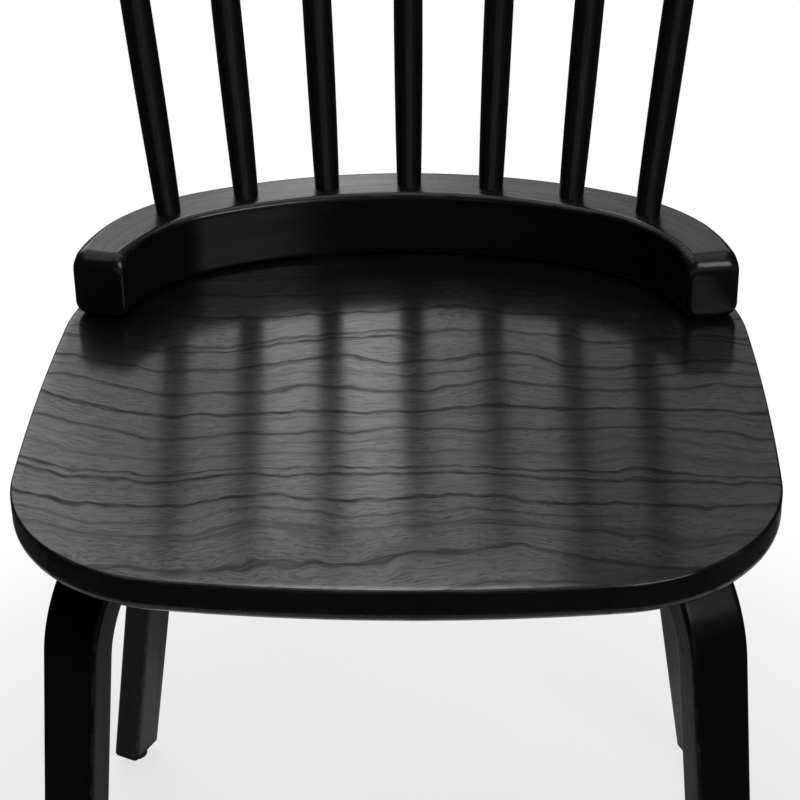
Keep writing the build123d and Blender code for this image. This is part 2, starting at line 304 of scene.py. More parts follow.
def make_seat():
    """Seat board with a soft lower edge and a crisp upper one."""
    turns = [pi / 2 * step / seat_edge_steps for step in range(seat_edge_steps + 1)]
    rings, edge = [seat_ring(seat_under_round + seat_face_margin, seat_under)], [0.0]
    for turn in turns:
        low = seat_under + seat_under_round * (1 - cos(turn))
        rings.append(seat_ring(seat_under_round * (1 - sin(turn)), low))
        # Weight on the seat's lower edge for its wear and painted edge highlight
        edge.append(lower_edge_wear_and_highlight * sin(2 * turn))
    for z in (seat_under + seat_under_round + support_gap, seat_top - seat_top_round - support_gap):
        rings.append(seat_ring(0, z))
        edge.append(0.0)
    for turn in turns:
        high = seat_top - seat_top_round * (1 - sin(turn))
        rings.append(seat_ring(seat_top_round * (1 - cos(turn)), high))
        edge.append(sin(2 * turn))
    rings.append(seat_ring(seat_top_round + seat_face_margin, seat_top))
    edge.append(0.0)
    return shell("seat_board", rings, None, [[weight] * len(rings[0]) for weight in edge])


def make_rail():
    """Curved rail on the seat, with rounder corners towards its ends."""
    rings, grain, ends = [], [], []
    for along in stations(2 * rail_half, rail_finest):
        from_end = min(along, 2 * rail_half - along)
        point, outward = rail_station(along - rail_half)
        softening = rail_end_softening * max(0.0, 1 - from_end / rail_soft_reach)
        drawn = eased(rail_edge_round, from_end)
        side = rail_width / 2 - drawn
        low = eased(rail_foot_round, from_end)
        high = rail_height - eased(rail_end_round, from_end)
        section = rounded_section(-side, side, low, high, rail_edge_round + softening - drawn)
        ring = []
        for a, b in section:
            ring.append(place(point[0] + a * outward[0], point[1] + a * outward[1], seat_top + b))
        rings.append(ring)
        grain.append([(along, a, b) for a, b in section])
        ends.append(end_weight(from_end, rail_edge_round))
    return loft("back_rail_bent", rings, grain, ends)


def make_crest():
    """Curved crest rail that leans back with the spindles."""
    outermost, _ = rail_station(half_count * spindle_spacing)
    half_angle = pi / 2 - heading(back_centre, outermost) + crest_overhang / crest_radius
    length = 2 * half_angle * crest_radius
    rings, grain, ends = [], [], []
    for along in stations(length, crest_finest):
        from_end = min(along, length - along)
        turn = pi / 2 + half_angle - along / crest_radius
        side = crest_thickness / 2 - eased(crest_edge_round, from_end)
        end = eased(crest_corner, from_end)
        radius = crest_edge_round - eased(crest_edge_round, from_end)
        section = rounded_section(-side, side, end, crest_height - end, radius)
        ring = []
        for a, b in section:
            reach = crest_radius + b * sin(spindle_lean) + a * cos(spindle_lean)
            z = crest_base + b * cos(spindle_lean) - a * sin(spindle_lean)
            ring.append(place(reach * cos(turn), back_centre[1] + reach * sin(turn), z))
        rings.append(ring)
        grain.append([(along + crest_grain_shift, a + crest_grain_aside, b) for a, b in section])
        ends.append(end_weight(from_end, crest_edge_round))
    return loft("crest_rail_bent", rings, grain, ends)


def leg_foot_reach():
    """Distance of the foot's middle from the line where the bend stands furthest out, negative outwards."""
    bend_end = leg_bend_radius * (1 - cos(leg_splay))
    straight = leg_drop - leg_bend_radius * (1 - sin(leg_splay))
    return bend_end - straight * tan(leg_splay) + leg_thickness / (2 * cos(leg_splay))


def leg_lines():
    """Stations down a leg, each with its outer point, inner point and distance along the strip."""
    inner_radius = leg_bend_radius - leg_thickness
    middle_radius = (leg_bend_radius + inner_radius) / 2
    half_foot = leg_thickness / (2 * cos(leg_splay))
    foot_reach = leg_foot_reach()
    arm = leg_arm_length - leg_bend_radius
    found = []
    near_end = crowded(leg_finest, leg_end_rings)
    for along in near_end + [arm * k / arm_steps for k in range(1, arm_steps + 1)]:
        found.append(((leg_arm_length - along, 0), (leg_arm_length - along, -leg_thickness), along))
    bend = pi / 2 - leg_splay
    for step in range(1, bend_steps + 1):
        turn = pi / 2 + bend * step / bend_steps
        outer = (leg_bend_radius * (1 + cos(turn)), leg_bend_radius * (sin(turn) - 1))
        inner = (leg_bend_radius + inner_radius * cos(turn), inner_radius * sin(turn) - leg_bend_radius)
        found.append((outer, inner, arm + bend * step / bend_steps * middle_radius))
    top_outer, top_inner, top_along = found[-1]
    foot_outer, foot_inner = (foot_reach - half_foot, -leg_drop), (foot_reach + half_foot, -leg_drop)
    length = hypot(foot_outer[0] - top_outer[0], foot_outer[1] - top_outer[1])
    steps = [length * k / foot_steps for k in range(1, foot_steps)]
    steps += [length - distance for distance in reversed(near_end)]
    for step in steps:
        share = step / length
        outer = tuple(top_outer[i] + (foot_outer[i] - top_outer[i]) * share for i in (0, 1))
        inner = tuple(top_inner[i] + (foot_inner[i] - top_inner[i]) * share for i in (0, 1))
        found.append((outer, inner, top_along + step))
    return found


def make_leg(name, number):
    """One bent leg, set on its corner of the seat."""
    turn_in, lines = leg_frames[number], leg_lines()
    length = lines[-1][2]
    rings, grain, ends = [], [], []
    for outer, inner, along in lines:
        drop = -(outer[1] + inner[1]) / 2
        width = leg_top_width + (leg_foot_width - leg_top_width) * drop / leg_drop
        from_arm, from_foot = along, length - along
        thin = eased(leg_arm_end_round, from_arm) + eased(leg_foot_round, from_foot)
        narrow = eased(leg_edge_round, from_arm) + eased(leg_edge_round, from_foot)
        reach = hypot(outer[0] - inner[0], outer[1] - inner[1])
        half_width = width / 2 - narrow
        section = rounded_section(thin, reach - thin, -half_width, half_width, leg_edge_round - narrow)
        ring = []
        for a, b in section:
            share = a / reach
            s = inner[0] + (outer[0] - inner[0]) * share
            z = inner[1] + (outer[1] - inner[1]) * share
            ring.append(turn_in @ Vector((s, b, z)))
        rings.append(ring)
        shift, aside = leg_grain_shift * (number + 1), leg_grain_aside * number
        grain.append([(along + shift, b + aside, a) for a, b in section])
        ends.append(end_weight(min(from_arm, from_foot), leg_edge_round))
    return loft(name, rings, grain, ends)


def leg_frame(corner, corner_reach, corner_angle, facing, way, side):
    """Matrix from a leg's own frame, with X along its arm, to the chair."""
    x = side * (corner[0] + corner_reach * sin(corner_angle))
    y = corner[1] + way * corner_reach * cos(corner_angle)
    arm_heading = atan2(-way * cos(facing), -side * sin(facing))
    return Matrix.Translation(place(x, y, seat_under)) @ Matrix.Rotation(arm_heading, 4, "Z")


leg_names = ["front_left", "front_right", "rear_left", "rear_right"]
front_leg_reach = front_corner_radius - front_leg_inset
rear_leg_reach = back_corner_radius - rear_leg_inset
leg_frames = []
for side in (-1, 1):
    leg_frames.append(leg_frame(front_corner, front_leg_reach, front_leg_angle, front_leg_facing, -1, side))
for side in (-1, 1):
    leg_frames.append(leg_frame(back_corner, rear_leg_reach, rear_leg_angle, rear_leg_facing, 1, side))


# Geometry Nodes

class Tree:
    """A node tree under construction, with short calls for nodes and links."""

    def __init__(self, tree):
        self.tree = tree

    def add(self, kind, links=(), **settings):
        """Node of a kind; links sets inputs, by place or name, from values or other sockets."""
        node = self.tree.nodes.new(kind)
        for name, value in settings.items():
            setattr(node, name, value)
        for name, value in dict(links).items():
            if isinstance(value, bpy.types.NodeSocket):
                self.tree.links.new(value, node.inputs[name])
            else:
                node.inputs[name].default_value = value
        return node

    def math(self, operation, *values):
        """Number worked out from numbers."""
        return self.add("ShaderNodeMath", dict(enumerate(values)), operation=operation).outputs[0]

    def vector(self, operation, *values):
        """Vector worked out from vectors."""
        return self.add("ShaderNodeVectorMath", dict(enumerate(values)), operation=operation).outputs[0]

    def ranged(self, value, low, high, to_low=0.0, to_high=1.0, smooth=True):
        """Value carried from one range into another and held at its ends."""
        links = {0: value, 1: low, 2: high, 3: to_low, 4: to_high}
        kind = "SMOOTHSTEP" if smooth else "LINEAR"
        return self.add("ShaderNodeMapRange", links, interpolation_type=kind).outputs[0]

    def mixed(self, share, first, second):
        """Colour between two colours."""
        links = {0: share, 6: first, 7: second}
        return self.add("ShaderNodeMix", links, data_type="RGBA").outputs[2]

    def kept(self, geometry, name, value):
        """Geometry with a vector kept on its points under a name."""
        links = {0: geometry, "Name": name}
        node = self.add("GeometryNodeStoreNamedAttribute", links, data_type="FLOAT_VECTOR")
        self.tree.links.new(value, open_socket(node.inputs, "Value"))
        return node.outputs[0]

    def recalled(self, name, kind):
        """Value kept on the points under a name."""
        return self.add("GeometryNodeInputNamedAttribute", {"Name": name}, data_type=kind).outputs[0]


def open_socket(sockets, name):
    """The socket in use among those of one name."""
    return [socket for socket in sockets if socket.name == name and socket.enabled][0]


def geometry_tree(name, sizes):
    """Empty geometry tree with a geometry socket and a named input for each size."""
    group = bpy.data.node_groups.new(name, "GeometryNodeTree")
    group.interface.new_socket("Geometry", in_out="INPUT", socket_type="NodeSocketGeometry")
    for size, kind in sizes.items():
        group.interface.new_socket(size, in_out="INPUT", socket_type=kind)
    group.interface.new_socket("Geometry", in_out="OUTPUT", socket_type="NodeSocketGeometry")
    tree = Tree(group)
    return tree, tree.add("NodeGroupInput").outputs


def grown(name, seed_mesh, tree, values):
    """Plain mesh piece that a geometry tree makes from a seed mesh."""
    maker = bpy.data.objects.new(name + "_maker", seed_mesh)
    bpy.context.collection.objects.link(maker)
    modifier = maker.modifiers.new("nodes", "NODES")
    modifier.node_group = tree.tree
    for item in tree.tree.interface.items_tree:
        if item.in_out == "INPUT" and item.name in values:
            modifier[item.identifier] = values[item.name]
    ready = maker.evaluated_get(bpy.context.evaluated_depsgraph_get())
    mesh = bpy.data.meshes.new_from_object(ready)
    maker.modifiers.remove(modifier)
    bpy.data.objects.remove(maker)
    mesh.name = name
    piece = bpy.data.objects.new(name, mesh)
    bpy.context.collection.objects.link(piece)
    return piece


def spindle_tree():
    """Turned rods along the edges of a mesh: thin at the ends, swelling to the middle."""
    sizes = {
        "End Radius": "NodeSocketFloat",
        "Middle Radius": "NodeSocketFloat",
        "Length": "NodeSocketFloat",
        "Material": "NodeSocketMaterial",
    }
    tree, given = geometry_tree("turned spindles", sizes)
    lines = tree.add("GeometryNodeMeshToCurve", {0: given["Geometry"]})
    fine = tree.add("GeometryNodeResampleCurve", {0: lines.outputs[0], "Count": spindle_rings})
    share = tree.add("GeometryNodeSplineParameter").outputs["Factor"]
    off_middle = tree.math("MULTIPLY_ADD", share, 2.0, -1.0)
    swell = tree.math("SUBTRACT", 1.0, tree.math("POWER", tree.math("ABSOLUTE", off_middle), 2.0))
    gain = tree.math("SUBTRACT", given["Middle Radius"], given["End Radius"])
    radius = tree.math("MULTIPLY_ADD", swell, gain, given["End Radius"])
    sized = tree.add("GeometryNodeSetCurveRadius", {0: fine.outputs[0], "Radius": radius})
    along = tree.math("MULTIPLY", share, given["Length"])
    index = tree.add("GeometryNodeInputIndex").outputs[0]
    spline = tree.math("FLOOR", tree.math("DIVIDE", index, float(spindle_rings)))
    start = tree.math("MULTIPLY_ADD", spline, spindle_grain_shift, along)
    links = {0: sized.outputs[0], "Name": "along", "Value": start}
    lengths = tree.add("GeometryNodeStoreNamedAttribute", links)
    circle = tree.add("GeometryNodeCurvePrimitiveCircle", {"Resolution": spindle_sides, "Radius": 1.0})
    round_line = tree.kept(circle.outputs[0], "round", tree.add("GeometryNodeInputPosition").outputs[0])
    own_radius = tree.add("GeometryNodeInputRadius").outputs[0]
    links = {0: lengths.outputs[0], 1: round_line, "Fill Caps": True, "Scale": own_radius}
    skin = tree.add("GeometryNodeCurveToMesh", links)
    around = tree.add("ShaderNodeSeparateXYZ", {0: tree.recalled("round", "FLOAT_VECTOR")}).outputs
    across = tree.math("MULTIPLY", around[0], given["End Radius"])
    deep = tree.math("MULTIPLY", around[1], given["End Radius"])
    far = tree.recalled("along", "FLOAT")
    grain = tree.add("ShaderNodeCombineXYZ", {0: far, 1: across, 2: deep}).outputs[0]
    grained = tree.kept(skin.outputs[0], "grain", grain)
    smooth = tree.add("GeometryNodeSetShadeSmooth", {0: grained})
    real = tree.add("GeometryNodeRealizeInstances", {0: smooth.outputs[0]})
    painted = tree.add("GeometryNodeSetMaterial", {0: real.outputs[0], "Material": given["Material"]})
    tree.add("NodeGroupOutput", {0: painted.outputs[0]})
    return tree


def placed_tree(name):
    """Copies of one small fitting on the points of a mesh."""
    tree, given = geometry_tree(name, {"Fitting": "NodeSocketObject", "Material": "NodeSocketMaterial"})
    fitting = tree.add("GeometryNodeObjectInfo", {"Object": given["Fitting"]})
    spin = tree.add("FunctionNodeRandomValue", {"Seed": fitting_seed}, data_type="FLOAT")
    open_socket(spin.inputs, "Min").default_value = 0.0
    open_socket(spin.inputs, "Max").default_value = 2 * pi
    angle = open_socket(spin.outputs, "Value")
    turned = tree.add("ShaderNodeCombineXYZ", {2: angle}).outputs[0]
    links = {0: given["Geometry"], "Instance": fitting.outputs["Geometry"], "Rotation": turned}
    copies = tree.add("GeometryNodeInstanceOnPoints", links)
    real = tree.add("GeometryNodeRealizeInstances", {0: copies.outputs[0]})
    painted = tree.add("GeometryNodeSetMaterial", {0: real.outputs[0], "Material": given["Material"]})
    tree.add("NodeGroupOutput", {0: painted.outputs[0]})
    return tree


def points_mesh(name, points, edges=()):
    """Loose points, or lines between them, for a geometry tree to start from."""
    mesh = bpy.data.meshes.new(name)
    mesh.from_pydata(points, list(edges), [])
    return mesh


def lathe(name, profile, sides):
    """Small turned fitting about Z from a list of radius and height."""
    turns = [2 * pi * k / sides for k in range(sides)]
    rings = []
    for radius, z in profile:
        rings.append([Vector((radius * cos(turn), radius * sin(turn), z)) for turn in turns])
    return shell(name, rings)


def set_fittings(name, label, profile, sides, points, material):
    """Copies of one turned fitting on points, as a single piece."""
    fitting = lathe(label, profile, sides)
    spots = points_mesh(label + "_points", points)
    tree = placed_tree("set " + label + "s")
    piece = grown(name, spots, tree, {"Fitting": fitting, "Material": material})
    bpy.data.objects.remove(fitting)
    return piece


# Shader groups and materials

# Noise of the grain, in cells per metre along it and across it
wave_cells, ripple_cells = (4.5, 5.0, 5.0), (11.0, 8.0, 8.0)
streak_cells, fibre_cells = (60.0, 800.0, 800.0), (110.0, 1500.0, 1500.0)
break_cells, patch_cells, tone_cells = (7.0, 50.0, 50.0), (8.0, 26.0, 26.0), (6.0, 60.0, 60.0)
pore_cells_across, wear_and_highlight_cells = 950.0, 60.0

# How the waves, the depth in the wood and the streaks shift the grain across itself
wave_share, depth_share, streak_shift = 2.6, 0.35, 8 * MM

# Growth lines: where in its spacing a line starts, is full and falls off, and which chances leave no line
line_full, line_fall = 0.92, 0.94
broad_start, broad_faintest = 0.74, -0.8
narrow_start, narrow_faintest, narrow_share = 0.68, 0.3, 0.61

# Pores: noise above a threshold, which is lower in some patches
pore_threshold, pore_patchiness, pore_softness = 0.80, -0.42, 0.14

# Ranges of noise in which narrow lines break off, lines feather, fibres show, and tone and the rubbed edges
# with their painted highlight change
break_range, feather_range, fibre_range = (0.38, 0.58), (0.30, 0.56), (0.46, 0.68)
feather_least, fibre_most = 0.35, 0.9
tone_range, rough_tone_range = (0.3, 0.7), (0.2, 0.8)
wear_and_highlight_spot_range, wear_and_highlight_edge_range = (0.45, 0.68), (0.55, 1.0)

# How much a pore counts beside a line, and the share of the streaks in the tone
pore_depth, streak_tone = 0.5, 0.4

# Finish of the wood: dark grain, rubbed edges that also paint a highlight along the edges, roughness,
# relief and lacquer
hollow_colour, hollow_darkening = (0.003, 0.003, 0.003, 1), 0.8
# Lighter colour on the rounded edges: rubbed lacquer, and a painted highlight along those edges
worn_highlight_colour, worn_roughness = (0.05, 0.048, 0.045, 1), 0.15
stain_roughness, hollow_roughness = (0.42, 0.5), 0.2
grain_relief, relief_strength, line_relief, pore_relief = 0.4 * MM, 0.35, -0.5, -0.5
lacquer_ior, stain_specular = 1.5, 0.06


def shader_group(name, inputs, outputs):
    """Empty shader group with named inputs, each of a kind and with a value, and outputs for numbers."""
    group = bpy.data.node_groups.new(name, "ShaderNodeTree")
    for label, kind, value in inputs:
        socket = group.interface.new_socket(label, in_out="INPUT", socket_type=kind)
        if value is not None:
            socket.default_value = value
    for label in outputs:
        group.interface.new_socket(label, in_out="OUTPUT", socket_type="NodeSocketFloat")
    tree = Tree(group)
    return tree, tree.add("NodeGroupInput").outputs


def grain_group():
    """Open grain of stained ash along X: growth lines, short pores and a slow change of tone."""
    inputs = [
        ("Vector", "NodeSocketVector", None),
        ("Line Spacing", "NodeSocketFloat", 20 * MM),
        ("Waviness", "NodeSocketFloat", 20 * MM),
        ("Pore Length", "NodeSocketFloat", 5 * MM),
    ]
    tree, given = shader_group("stained grain", inputs, ["Lines", "Pores", "Tone"])

    def noise(vector, cells, detail, roughness=0.5):
        """Noise with a number of cells per metre along each axis."""
        at = tree.vector("MULTIPLY", vector, cells)
        links = {"Vector": at, "Scale": 1.0, "Detail": detail, "Roughness": roughness}
        return tree.add("ShaderNodeTexNoise", links).outputs["Fac"]

    def growth_lines(across, spacing, faintest, start):
        """One dark line to each spacing, with a strength of its own."""
        ring = tree.math("DIVIDE", across, spacing)
        within = tree.math("FRACT", ring)
        year = tree.math("FLOOR", ring)
        chance = tree.add("ShaderNodeTexWhiteNoise", {"W": year}, noise_dimensions="1D").outputs["Value"]
        strength = tree.ranged(chance, faintest, 1.0, smooth=False)
        rise = tree.ranged(within, start, line_full)
        fall = tree.ranged(within, line_fall, 1.0, to_low=1.0, to_high=0.0)
        return tree.math("MULTIPLY", tree.math("MULTIPLY", rise, fall), strength)

    # Waves shift the grain across itself
    flat = given["Vector"]
    wave = noise(flat, wave_cells, detail=1.0)
    ripple = noise(flat, ripple_cells, detail=3.0, roughness=0.6)
    shift = tree.math("MULTIPLY_ADD", wave, wave_share, ripple)
    parts = tree.add("ShaderNodeSeparateXYZ", {0: flat}).outputs
    depth = tree.math("MULTIPLY_ADD", parts[2], depth_share, parts[1])
    drawn = tree.math("MULTIPLY_ADD", shift, given["Waviness"], depth)
    bent = tree.add("ShaderNodeCombineXYZ", {0: parts[0], 1: drawn, 2: parts[2]}).outputs[0]

    # Broad lines, broken narrow lines between them, and feathered edges on both
    streaks = noise(bent, streak_cells, detail=3.0, roughness=0.65)
    across = tree.math("MULTIPLY_ADD", streaks, streak_shift, drawn)
    broad = growth_lines(across, given["Line Spacing"], broad_faintest, broad_start)
    narrow_spacing = tree.math("MULTIPLY", given["Line Spacing"], narrow_share)
    narrow = growth_lines(across, narrow_spacing, narrow_faintest, narrow_start)
    broken = tree.ranged(noise(bent, break_cells, detail=3.0, roughness=0.6), *break_range)
    feathered = tree.ranged(streaks, *feather_range, to_low=feather_least)
    both = tree.math("MAXIMUM", broad, tree.math("MULTIPLY", narrow, broken))
    lines = tree.math("MULTIPLY", both, feathered)

    # Short pores, closer together in some patches, and fine fibres between them
    along = tree.math("DIVIDE", 1.0, given["Pore Length"])
    links = {0: along, 1: pore_cells_across, 2: pore_cells_across}
    pore_cells = tree.add("ShaderNodeCombineXYZ", links).outputs[0]
    patch = noise(bent, patch_cells, detail=2.0)
    open_from = tree.math("MULTIPLY_ADD", patch, pore_patchiness, pore_threshold)
    open_to = tree.math("ADD", open_from, pore_softness)
    holes = tree.ranged(noise(bent, pore_cells, detail=2.0), open_from, open_to)
    fibres = noise(bent, fibre_cells, detail=2.0, roughness=0.6)
    pores = tree.math("MAXIMUM", holes, tree.ranged(fibres, *fibre_range, to_high=fibre_most))

    slow = noise(flat, tone_cells, detail=5.0, roughness=0.65)
    tone = tree.math("MULTIPLY_ADD", streaks, streak_tone, tree.math("MULTIPLY", slow, 1 - streak_tone))
    tree.add("NodeGroupOutput", {0: lines, 1: pores, 2: tone})
    return tree.tree


def wear_and_highlight_group():
    """Rubbed lacquer along the edges, which also paints a highlight there, broken up so that it shows only
    in places.
    """
    inputs = [
        ("Edge", "NodeSocketFloat", 0.0),
        ("Vector", "NodeSocketVector", None),
        ("Amount", "NodeSocketFloat", 0.5),
    ]
    tree, given = shader_group("rubbed and highlighted edges", inputs, ["Wear"])
    links = {"Vector": given["Vector"], "Scale": wear_and_highlight_cells, "Detail": 4.0, "Roughness": 0.7}
    noise = tree.add("ShaderNodeTexNoise", links).outputs["Fac"]
    spots = tree.ranged(noise, *wear_and_highlight_spot_range)
    bare = tree.ranged(given["Edge"], *wear_and_highlight_edge_range)
    # Lighter where an edge is halfway round: wear, and a painted edge highlight
    wear_and_highlight = tree.math("MULTIPLY", tree.math("MULTIPLY", bare, spots), given["Amount"])
    tree.add("NodeGroupOutput", {0: wear_and_highlight})
    return tree.tree


def new_material(name):
    """Material with an empty node tree."""
    material = bpy.data.materials.new(name)
    material.use_nodes = True
    material.node_tree.nodes.clear()
    return material, Tree(material.node_tree)


def object_place(tree):
    """Place on the object, in metres."""
    return tree.add("ShaderNodeTexCoord").outputs["Object"]


def kept_grain(tree):
    """Place along a bent piece that was kept on its points."""
    settings = {"attribute_name": "grain", "attribute_type": "GEOMETRY"}
    return tree.add("ShaderNodeAttribute", **settings).outputs["Vector"]


def kept_edge(tree):
    """Edge weight that was kept on the points."""
    settings = {"attribute_name": "edge", "attribute_type": "GEOMETRY"}
    return tree.add("ShaderNodeAttribute", **settings).outputs["Fac"]


def stained_wood(name, vector_of, dark, light, spacing, waviness, gloss, coat, line_depth, mottle):
    """Black stained ash under satin lacquer that sinks into the open grain."""
    material, tree = new_material(name)
    links = {"Vector": vector_of(tree), "Line Spacing": spacing, "Waviness": waviness}
    grain = tree.add("ShaderNodeGroup", links, node_tree=grain_tree).outputs
    lines, pores, tone = grain["Lines"], grain["Pores"], grain["Tone"]
    hollow = tree.math("MAXIMUM", lines, tree.math("MULTIPLY", pores, pore_depth))
    links = {"Edge": kept_edge(tree), "Vector": object_place(tree)}
    wear_and_highlight = tree.add("ShaderNodeGroup", links, node_tree=wear_and_highlight_tree).outputs["Wear"]

    colour = tree.mixed(tree.ranged(tone, *tone_range), dark, light)
    colour = tree.mixed(tree.math("MULTIPLY", hollow, hollow_darkening), colour, hollow_colour)
    # Rounded edges made lighter: rubbed lacquer, and a painted highlight
    colour = tree.mixed(wear_and_highlight, colour, worn_highlight_colour)
    lacquer = tree.ranged(hollow, 0.0, 1.0, coat, coat * (1 - line_depth), smooth=False)
    lacquer = tree.math("MULTIPLY", lacquer, tree.ranged(tone, *tone_range, to_low=1.0 - mottle))
    rough = tree.ranged(tone, *rough_tone_range, *stain_roughness)
    rough = tree.math("MULTIPLY_ADD", hollow, hollow_roughness, rough)
    rough = tree.math("MULTIPLY_ADD", wear_and_highlight, worn_roughness, rough)
    height = tree.math("MULTIPLY_ADD", lines, line_relief, tree.math("MULTIPLY", pores, pore_relief))
    links = {"Strength": relief_strength, "Distance": grain_relief, "Height": height}
    bump = tree.add("ShaderNodeBump", links)
    skin = tree.add(
        "ShaderNodeBsdfPrincipled",
        {
            "Base Color": colour,
            "Roughness": rough,
            "Coat Weight": lacquer,
            "Coat Roughness": gloss,
            "Coat IOR": lacquer_ior,
            "Specular IOR Level": stain_specular,
            "Normal": bump.outputs[0],
        },
    )
    tree.add("ShaderNodeOutputMaterial", {0: skin.outputs[0]})
    return material


def fine_material(name, colour, worn, rough, metallic, cells):
    """Plain fitting finish with fine mottling and a rough skin."""
    patch_share, patch_range = 0.12, (0.35, 0.7)
    mottle_range, rough_range = (0.3, 0.7), (rough - 0.08, rough + 0.08)
    material, tree = new_material(name)
    at = object_place(tree)
    links = {"Vector": at, "Scale": cells, "Detail": 4.0, "Roughness": 0.6}
    mottle = tree.add("ShaderNodeTexNoise", links).outputs["Fac"]
    links = {"Vector": at, "Scale": cells * patch_share, "Detail": 2.0}
    patch = tree.add("ShaderNodeTexNoise", links).outputs["Fac"]
    share = tree.ranged(patch, *patch_range)
    bump = tree.add("ShaderNodeBump", {"Strength": 0.2, "Distance": 0.1 * MM, "Height": mottle})
    skin = tree.add(
        "ShaderNodeBsdfPrincipled",
        {
            "Base Color": tree.mixed(share, colour, worn),
            "Roughness": tree.ranged(mottle, *mottle_range, *rough_range),
            "Metallic": metallic,
            "Normal": bump.outputs[0],
        },
    )
    tree.add("ShaderNodeOutputMaterial", {0: skin.outputs[0]})
    return material


grain_tree, wear_and_highlight_tree = grain_group(), wear_and_highlight_group()
seat_finish = stained_wood(
    "seat black ash veneer",
    vector_of=object_place,
    dark=(0.003, 0.003, 0.0031, 1),
    light=(0.006, 0.006, 0.0062, 1),
    spacing=27 * MM,
    waviness=42 * MM,
    gloss=0.16,
    coat=1.0,
    line_depth=0.94,
    mottle=0.18,
)
wood_finish = stained_wood(
    "frame black ash",
    vector_of=kept_grain,
    dark=(0.002, 0.002, 0.0021, 1),
    light=(0.005, 0.005, 0.0052, 1),
    spacing=10 * MM,
    waviness=6 * MM,
    gloss=0.22,
    coat=1.0,
    line_depth=0.15,
    mottle=0.32,
)
# Legs: a darker, thinner-lacquered copy of the frame's black ash, which paints shade on the legs; they
# carry the same finish as the frame
shaded_leg_finish = stained_wood(
    "leg black ash shaded copy",
    vector_of=kept_grain,
    dark=(0.0012, 0.0012, 0.0012, 1),
    light=(0.003, 0.003, 0.0031, 1),
    spacing=10 * MM,
    waviness=6 * MM,
    gloss=0.24,
    coat=0.27,
    line_depth=0.25,
    mottle=0.35,
)
glide_finish = fine_material(
    "black glide plastic",
    colour=(0.02, 0.02, 0.02, 1),
    worn=(0.035, 0.034, 0.033, 1),
    rough=0.5,
    metallic=0.0,
    cells=900.0,
)
steel_finish = fine_material(
    "zinc plated steel",
    colour=(0.55, 0.55, 0.54, 1),
    worn=(0.42, 0.42, 0.41, 1),
    rough=0.32,
    metallic=1.0,
    cells=1200.0,
)
dowel_finish = fine_material(
    "beech dowel",
    colour=(0.62, 0.47, 0.30, 1),
    worn=(0.52, 0.37, 0.22, 1),
    rough=0.6,
    metallic=0.0,
    cells=500.0,
)


# Pieces

def finish_piece(piece, material, slot, *nodes):
    piece.data.materials.clear()
    piece.data.materials.append(material)
    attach(piece, "root")
    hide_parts(*nodes)


def bored(piece, points):
    """Cuts counterbores for the screw heads up into a piece."""
    profile = [(counterbore_radius, -bore_tool_reach), (counterbore_radius, counterbore_depth)]
    for point in points:
        tool = lathe("bore_tool", profile, bore_sides)
        tool.data.transform(Matrix.Translation(point))
        tool.data.polygons.foreach_set("use_smooth", [False] * len(tool.data.polygons))
        cut = piece.modifiers.new("bore", "BOOLEAN")
        cut.operation, cut.solver, cut.object = "DIFFERENCE", "EXACT", tool
        ready = piece.evaluated_get(bpy.context.evaluated_depsgraph_get())
        mesh = bpy.data.meshes.new_from_object(ready)
        piece.modifiers.remove(cut)
        piece.data = mesh
        bpy.data.objects.remove(tool)


rail_screw_stations = [place_along * spindle_spacing for place_along in rail_screw_places]
rail_screw_stations += [side * (rail_half - rail_end_screw_margin) for side in (-1, 1)]
rail_screw_points = [place(*rail_station(along)[0], seat_under) for along in rail_screw_stations]
seat = make_seat()
bored(seat, rail_screw_points)
finish_piece(seat, seat_finish, "seat_veneer", "seat")
finish_piece(make_rail(), wood_finish, "black_wood", "back_rail")
finish_piece(make_crest(), wood_finish, "black_wood", "crest_rail")

leg_screw_points = []
for number, name in enumerate(leg_names):
    points = [leg_frames[number] @ Vector((along, 0, -leg_thickness)) for along in leg_screw_places]
    leg_screw_points += points
    leg = make_leg("bent_leg_" + name, number)
    bored(leg, points)
    finish_piece(leg, shaded_leg_finish, "black_wood", "leg_" + name)

axis_points = []
for number in range(spindle_count):
    foot, head = spindle_ends(number)
    lift = (head - foot).normalized()
    axis_points += [foot - lift * spindle_in_rail, head + lift * spindle_in_crest]
spindles = grown(
    "turned_spindles",
    points_mesh("spindle_axes", axis_points, [(2 * k, 2 * k + 1) for k in range(spindle_count)]),
    spindle_tree(),
    {
        "End Radius": spindle_end_radius,
        "Middle Radius": spindle_middle_radius,
        "Length": (axis_points[1] - axis_points[0]).length,
        "Material": wood_finish,
    },
)
finish_piece(spindles, wood_finish, "black_wood", *[f"spindle_{k + 1}" for k in range(spindle_count)])

# Screw from the drive recess over the domed head to the stub of its shank
screw_profile = [
    (axis_gap, 0.2 * MM),
    (1.5 * MM, 0.2 * MM),
    (1.7 * MM, -2.6 * MM),
    (2.6 * MM, -2.95 * MM),
    (3.7 * MM, -2.6 * MM),
    (4.35 * MM, -1.8 * MM),
    (screw_head_radius, -0.9 * MM),
    (screw_head_radius, 0.0),
    (screw_radius, 0.0),
    (screw_radius, screw_stub),
    (axis_gap, screw_stub),
]
screw_points = [point + Vector((0, 0, counterbore_depth)) for point in leg_screw_points + rail_screw_points]
screws = set_fittings("wood_screws", "screw", screw_profile, screw_sides, screw_points, steel_finish)
screw_nodes = ["rail_screws"] + ["leg_screws_" + name for name in leg_names]
finish_piece(screws, steel_finish, "screw_steel", *screw_nodes)

